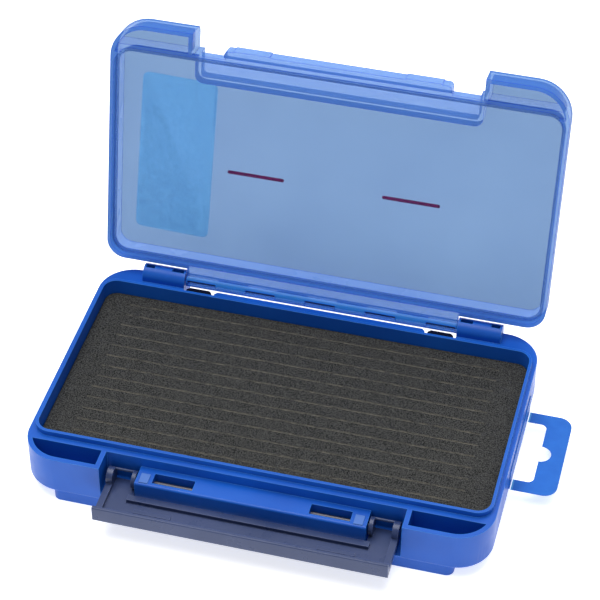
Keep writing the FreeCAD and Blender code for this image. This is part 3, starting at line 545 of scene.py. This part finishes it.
def clear_plastic(name, tint, body_colour, body_share, roughness, edge_shade_share=0.0, glow=0.0):
    """Dyed clear plastic: tinted see-through, a glossy skin, a painted shade of deeper blue at edges
    and a glow.
    """
    material, tree = new_finish(name)
    normal = bumpy_normal(tree, noise(tree, CLEAR_RIPPLE, detail=2), RIPPLE_STRENGTH, RIPPLE_DEPTH,
                          Normal=rounded_normal(tree, CLEAR_EDGE))
    haze = wander(tree, HAZE_PATCH, roughness, HAZE_SWING, detail=5)
    # Painted shade: beside sharp edges the skin turns a deeper blue and hides more of what lies behind.
    painted_edge_shade = combine(tree, "MULTIPLY", on_edges(tree, PAINTED_SHADE_REACH, *PAINTED_SHADE_BAND), edge_shade_share)
    skin_colour = blend_colours(tree, painted_edge_shade, body_colour, PAINTED_EDGE_SHADE_BLUE)
    skin = add_node(tree, "BsdfPrincipled", Base_Color=skin_colour, Roughness=haze, Normal=normal)
    inner_glow = add_node(tree, "BsdfTranslucent", Color=skin_colour)
    body = blend_shaders(tree, glow, skin.outputs["BSDF"], inner_glow.outputs["BSDF"])
    dye = wander(tree, DYE_PATCH, body_share, DYE_SWING)
    rim = add_node(tree, "LayerWeight", Blend=RIM_BLEND, Normal=normal).outputs["Fresnel"]
    density = combine(tree, "MAXIMUM", combine(tree, "MAXIMUM", dye, rim), painted_edge_shade)
    through = add_node(tree, "BsdfTransparent", Color=tint)
    show_surface(tree, blend_shaders(tree, density, through.outputs["BSDF"], body))
    return material


SEAL_TINT = srgb(205, 224, 244)
SEAL_BODY = srgb(120, 170, 230)

dress(gasket, clear_plastic("seal_silicone", SEAL_TINT, SEAL_BODY, body_share=0.3, roughness=0.5))
print("clear plastic on", gasket.name)

# %% [markdown]
# Walls seen on edge gather light inside them and glow, so the lid's walls and hinge barrel get
# brighter blends than its flat plate. All three are one moulding, so its faces are sorted: the
# barrel by its distance from the hinge, and the walls by their slant on the closed lid, with all
# that lies below the step of the wall.

# %% Plate, walls and barrel of the lid
PLATE_TINT = srgb(164, 182, 202)
PLATE_BODY = srgb(34, 104, 204)
WALL_TINT = srgb(214, 228, 244)
WALL_BODY = srgb(96, 152, 224)
BARREL_BODY = srgb(60, 158, 240)
LID_STEP_OVER_HINGE = 8.0 * MM
BARREL_REACH = 3.0 * MM

lid_closing = lid_turn.inverted()


def on_lid_wall(middle, normal):
    """Whether a face of the open lid stands upright, or lies below the step, on the closed one."""
    upright = abs((lid_closing.to_3x3() @ normal).z) < FACING_UP
    return upright or (lid_closing @ middle).z < LID_STEP_OVER_HINGE


def on_barrel(middle, normal):
    """Whether a face belongs to the hinge barrel or to its bore."""
    return (middle - hinge).yz.length < BARREL_REACH


plate_plastic = clear_plastic("clear_blue_plate", PLATE_TINT, PLATE_BODY,
                              body_share=0.1, roughness=0.2, edge_shade_share=0.7)
wall_plastic = clear_plastic("clear_blue_wall", WALL_TINT, WALL_BODY,
                             body_share=0.55, roughness=0.25, edge_shade_share=0.9, glow=0.45)
barrel_plastic = clear_plastic("clear_blue_barrel", WALL_TINT, BARREL_BODY,
                               body_share=0.75, roughness=0.3, edge_shade_share=0.6, glow=0.4)
dress(lid, plate_plastic, wall_plastic, barrel_plastic)
wall_faces = set_faces(lid, 1, on_lid_wall)
barrel_faces = set_faces(lid, 2, on_barrel)
print("wall faces:", wall_faces, "barrel faces:", barrel_faces)

# %% [markdown]
# The foam is charcoal and full of tiny cells, which read as a fine speckle: some cells catch the
# light, others are dark holes. Two noises of different size give the speckle, and the finer one
# also drives a bump, so that the light agrees with the colour. Along the slits the cut skin is
# paler, in short broken dashes, so the lips get a second material.

# %% Charcoal foam
FOAM_CELL = 0.5 * MM
FOAM_CELL_DEPTH = 0.25 * MM
FOAM_CELL_BAND = (0.41, 0.6)
FOAM_CLUMP = 5 * MM
FOAM_CLUMP_BAND = (0.35, 0.75)
FOAM_CLUMP_SHARES = (0.0, 0.22)
FOAM_RELIEF = 0.7
FOAM_ROUGHNESS = 0.95
FOAM_GLOSS = 0.2
LIP_DASH = 1.6 * MM
LIP_DASH_STRETCH = (0.5, 3, 1)
LIP_DASH_BAND = (0.38, 0.62)
LIP_DASH_SHARES = (0.15, 1.0)
LIP_FACING_UP = 0.5
FOAM_DARK = srgb(14, 15, 16)
FOAM_PALE = srgb(76, 76, 74)
LIP_PALE = srgb(104, 100, 90)


def foam_finish(name, dashes):
    """Closed-cell foam; dashes mixes in paler streaks along the slits."""
    material, tree = new_finish(name)
    cells = noise(tree, FOAM_CELL, detail=2, roughness=0.7)
    clumps = noise(tree, FOAM_CLUMP, detail=4)
    speckle = blend_colours(tree, spread(tree, cells, *FOAM_CELL_BAND), FOAM_DARK, FOAM_PALE)
    paler = spread(tree, clumps, *FOAM_CLUMP_BAND, *FOAM_CLUMP_SHARES)
    colour = blend_colours(tree, paler, speckle, FOAM_PALE)
    if dashes:
        streaks = noise(tree, LIP_DASH, detail=4, stretch=LIP_DASH_STRETCH)
        broken = spread(tree, streaks, *LIP_DASH_BAND, *LIP_DASH_SHARES)
        colour = blend_colours(tree, broken, colour, LIP_PALE)
    normal = bumpy_normal(tree, cells, FOAM_RELIEF, FOAM_CELL_DEPTH)
    shader = add_node(tree, "BsdfPrincipled", Base_Color=colour, Roughness=FOAM_ROUGHNESS,
                      Specular_IOR_Level=FOAM_GLOSS, Normal=normal)
    show_surface(tree, shader.outputs["BSDF"])
    return material


def on_lip(middle, normal):
    """Whether a face is one of the lips beside a slit."""
    beside = on_slit(middle, lip_reach) and not on_slit(middle, slit_half_width)
    return beside and normal.z > LIP_FACING_UP


dress(foam, foam_finish("charcoal_foam", False), foam_finish("slit_lip_foam", True))
print("lip faces:", set_faces(foam, 1, on_lip))

# %% [markdown]
# The pins are drawn steel wire, with fine streaks along the wire. The sheet that holds the foam
# down is hardly seen, but it still gets a fine grain of its own, so that no piece is bare.

# %% Steel wire and adhesive sheet
WIRE_STREAK = 0.5 * MM
WIRE_STRETCH = (0.03, 1, 1)
WIRE_SWING = (-0.08, 0.1)
SHEET_GRAIN = 0.9 * MM
SHEET_STRETCH = (1, 0.35, 0.35)
SHEET_BAND = (0.4, 0.62)
SHEET_DEPTH = 0.03 * MM
SHEET_RELIEF = 0.15
SHEET_ROUGHNESS = 0.55

BRIGHT_STEEL = srgb(160, 158, 154)
BRIGHT_STEEL_STREAK = srgb(112, 110, 108)
DULL_STEEL = srgb(110, 108, 112)
DULL_STEEL_STREAK = srgb(70, 70, 80)
SHEET_WHITE = srgb(214, 214, 206)
SHEET_GREY = srgb(196, 198, 192)


def steel_wire(name, streak_colour, colour, roughness):
    """Drawn steel wire with streaks along its length."""
    material, tree = new_finish(name)
    streaks = noise(tree, WIRE_STREAK, detail=4, stretch=WIRE_STRETCH)
    tint = blend_colours(tree, streaks, streak_colour, colour)
    worn = sway(tree, streaks, roughness, WIRE_SWING)
    shader = add_node(tree, "BsdfPrincipled", Base_Color=tint, Roughness=worn, Metallic=1.0)
    show_surface(tree, shader.outputs["BSDF"])
    return material


def adhesive_sheet(name):
    """Pale adhesive sheet with a fine fibrous grain."""
    material, tree = new_finish(name)
    fibres = noise(tree, SHEET_GRAIN, detail=5, stretch=SHEET_STRETCH)
    tint = blend_colours(tree, spread(tree, fibres, *SHEET_BAND), SHEET_WHITE, SHEET_GREY)
    normal = bumpy_normal(tree, fibres, SHEET_RELIEF, SHEET_DEPTH)
    shader = add_node(tree, "BsdfPrincipled", Base_Color=tint, Roughness=SHEET_ROUGHNESS, Normal=normal)
    show_surface(tree, shader.outputs["BSDF"])
    return material


dress(hinge_pin, steel_wire("drawn_steel", BRIGHT_STEEL_STREAK, BRIGHT_STEEL, roughness=0.3))
dress(latch_pins, steel_wire("dull_steel", DULL_STEEL_STREAK, DULL_STEEL, roughness=0.5))
dress(frame["nodes"]["foam_adhesive"], adhesive_sheet("adhesive_sheet"))
print("wires and sheet:", hinge_pin.name, latch_pins.name, "foam_adhesive")

# %% [markdown]
# The label and the printing ink are seen from inside the clear lid, so what shows of them is
# mostly light from behind: part comes straight through, tinted, and part is scattered.

# %% Label film and printing ink
FILM_GRAIN = 1.4 * MM
FILM_SWING = (-0.05, 0.05)
FRONT_SHARE = 0.4

LABEL_TINT = srgb(214, 244, 255)
LABEL_BLUE = srgb(140, 200, 255)
INK_TINT = srgb(238, 96, 160)
INK_RED = srgb(150, 10, 70)


def glowing_film(name, tint, colour, share):
    """Thin film or ink that lets tinted light through and also scatters the light behind it."""
    material, tree = new_finish(name)
    grain = wander(tree, FILM_GRAIN, share, FILM_SWING, detail=5)
    through = add_node(tree, "BsdfTransparent", Color=tint)
    glow = add_node(tree, "BsdfTranslucent", Color=colour)
    front = add_node(tree, "BsdfDiffuse", Color=colour)
    scattered = blend_shaders(tree, FRONT_SHARE, glow.outputs["BSDF"], front.outputs["BSDF"])
    show_surface(tree, blend_shaders(tree, grain, through.outputs["BSDF"], scattered))
    return material


dress(label, glowing_film("label_film", LABEL_TINT, LABEL_BLUE, share=0.2))
ink = glowing_film("dark_red_ink", INK_TINT, INK_RED, share=0.3)
for line in lines:
    dress(line, ink)
print("films on", label.name, [line.name for line in lines])

# %% [markdown]
# The hanging tab is one strip of blue film, with a pale highlight painted beside its fold,
# where the film bends. The fold's place comes from the frame, and the painted highlight fades
# out over less than a millimetre beside it.

# %% Film of the hanging tab
TAB_RIPPLE = 6 * MM
TAB_RIPPLE_DEPTH = 0.2 * MM
TAB_RELIEF = 0.2
TAB_ROUGHNESS = 0.45
TAB_GLOSS = 0.2
PAINTED_FOLD_HIGHLIGHT_START = 0.1 * MM
PAINTED_FOLD_HIGHLIGHT_END = 0.8 * MM
PAINTED_FOLD_HIGHLIGHT_SHARE = 0.6

TAB_BLUE = srgb(28, 104, 194)
TAB_DEEP_BLUE = srgb(22, 96, 186)
# Pale cyan painted as a highlight beside the tab's fold.
TAB_FOLD_HIGHLIGHT_BLUE = srgb(120, 205, 235)

fold_x = joints["tab_fold"]["pos_m"][0]


def tab_film(name, fold_highlight_colour):
    """Blue plastic film, with a painted highlight of another colour beside the fold."""
    material, tree = new_finish(name)
    place = add_node(tree, "TexCoord").outputs["Object"]
    across = add_node(tree, "SeparateXYZ", Vector=place).outputs["X"]
    # Painted highlight beside the fold, where the bent film catches the light.
    painted_fold_highlight = spread(tree, across, fold_x + PAINTED_FOLD_HIGHLIGHT_START, fold_x + PAINTED_FOLD_HIGHLIGHT_END, PAINTED_FOLD_HIGHLIGHT_SHARE, 0.0)
    ripple = noise(tree, TAB_RIPPLE, detail=3)
    pigment = blend_colours(tree, spread(tree, ripple, *NOISE_BAND), TAB_BLUE, TAB_DEEP_BLUE)
    tint = blend_colours(tree, painted_fold_highlight, pigment, fold_highlight_colour)
    normal = bumpy_normal(tree, ripple, TAB_RELIEF, TAB_RIPPLE_DEPTH)
    shader = add_node(tree, "BsdfPrincipled", Base_Color=tint, Roughness=TAB_ROUGHNESS,
                      Specular_IOR_Level=TAB_GLOSS, Normal=normal)
    show_surface(tree, shader.outputs["BSDF"])
    return material


dress(patch, tab_film("tab_film_stuck", TAB_BLUE))
dress(loop, tab_film("tab_film_loop", TAB_FOLD_HIGHLIGHT_BLUE))
print("fold at x =", round(fold_x / MM, 1), "mm")

# %% [markdown]
# The stage is a plain pale floor, with soft light from all around and two large lamps above. The
# photograph has no visible horizon and hardly a shadow, so the floor fills the view and glows a
# little, like a light table.

# %% Floor and light
FLOOR_SIZE = 12.0
FLOOR_PATCH = 300 * MM
FLOOR_GLOW = 0.7
FLOOR_ROUGHNESS = 0.9
FLOOR_GLOSS = 0.1
FLOOR_GREY = srgb(246, 247, 248)
FLOOR_WHITE = srgb(250, 250, 250)
LAMPS = {
    "top_light": {"place": (-0.2, 0.1, 1.6), "aim": (0, 0, 0), "size": 1.4, "power": 27},
    "back_light": {"place": (0.5, 1.3, 1.1), "aim": (0, 0, 0.05), "size": 1.0, "power": 10},
}
WORLD_TINT = (0.95, 0.97, 1.0, 1)
WORLD_STRENGTH = 0.34


def pale_floor():
    """A large matt floor just under the box."""
    bpy.ops.object.select_all(action="DESELECT")
    bpy.ops.mesh.primitive_plane_add(size=FLOOR_SIZE, location=(0, 0, 0))
    floor = bpy.context.object
    floor.name = "pale_floor"
    material, tree = new_finish("pale_floor_paint")
    tone = blend_colours(tree, noise(tree, FLOOR_PATCH), FLOOR_GREY, FLOOR_WHITE)
    shader = add_node(tree, "BsdfPrincipled", Base_Color=tone, Roughness=FLOOR_ROUGHNESS,
                      Specular_IOR_Level=FLOOR_GLOSS, Emission_Color=tone,
                      Emission_Strength=FLOOR_GLOW)
    show_surface(tree, shader.outputs["BSDF"])
    dress(floor, material)


def soft_lamp(name, place, aim, size, power):
    """A square area lamp that looks at a point."""
    data = bpy.data.lights.new(name, "AREA")
    data.size = size
    data.energy = power
    lamp = bpy.data.objects.new(name, data)
    bpy.context.scene.collection.objects.link(lamp)
    lamp.location = place
    lamp.rotation_euler = (Vector(aim) - Vector(place)).to_track_quat("-Z", "Y").to_euler()


pale_floor()
for name, settings in LAMPS.items():
    soft_lamp(name, **settings)
world = bpy.data.worlds.new("studio")
bpy.context.scene.world = world
world.use_nodes = True
world.node_tree.nodes["Background"].inputs["Color"].default_value = WORLD_TINT
world.node_tree.nodes["Background"].inputs["Strength"].default_value = WORLD_STRENGTH
bpy.context.scene.view_settings.view_transform = "Standard"
print("lamps:", [lamp.name for lamp in bpy.data.lights])

# %% [markdown]
# The camera stands where the photographer stood. Its place, turn and lens were worked out from
# the straight edges of the box: their directions give the angles, and how fast they converge
# gives the distance.

# %% Camera
VIEW_TARGET = Vector((-9.5 * MM, 57.36 * MM, 23 * MM))
VIEW_DISTANCE = 953.15 * MM
VIEW_AZIMUTH = radians(14.553)
VIEW_ELEVATION = radians(41.987)
VIEW_ROLL = radians(0.0996)
LENS_MM = 134.33
SENSOR_MM = 36


def photo_camera():
    """A camera on the far end of the line of sight, turned to look along it."""
    back = Vector((sin(VIEW_AZIMUTH) * cos(VIEW_ELEVATION),
                   -cos(VIEW_AZIMUTH) * cos(VIEW_ELEVATION),
                   sin(VIEW_ELEVATION)))
    data = bpy.data.cameras.new("photo_camera")
    data.lens = LENS_MM
    data.sensor_width = SENSOR_MM
    camera = bpy.data.objects.new("photo_camera", data)
    bpy.context.scene.collection.objects.link(camera)
    level = (-back).to_track_quat("-Z", "Y").to_matrix().to_4x4()
    roll = Matrix.Rotation(VIEW_ROLL, 4, "Z")
    camera.matrix_world = Matrix.Translation(VIEW_TARGET + back * VIEW_DISTANCE) @ level @ roll
    return camera


bpy.context.scene.camera = photo_camera()
print("camera at", [round(value, 4) for value in bpy.context.scene.camera.location])
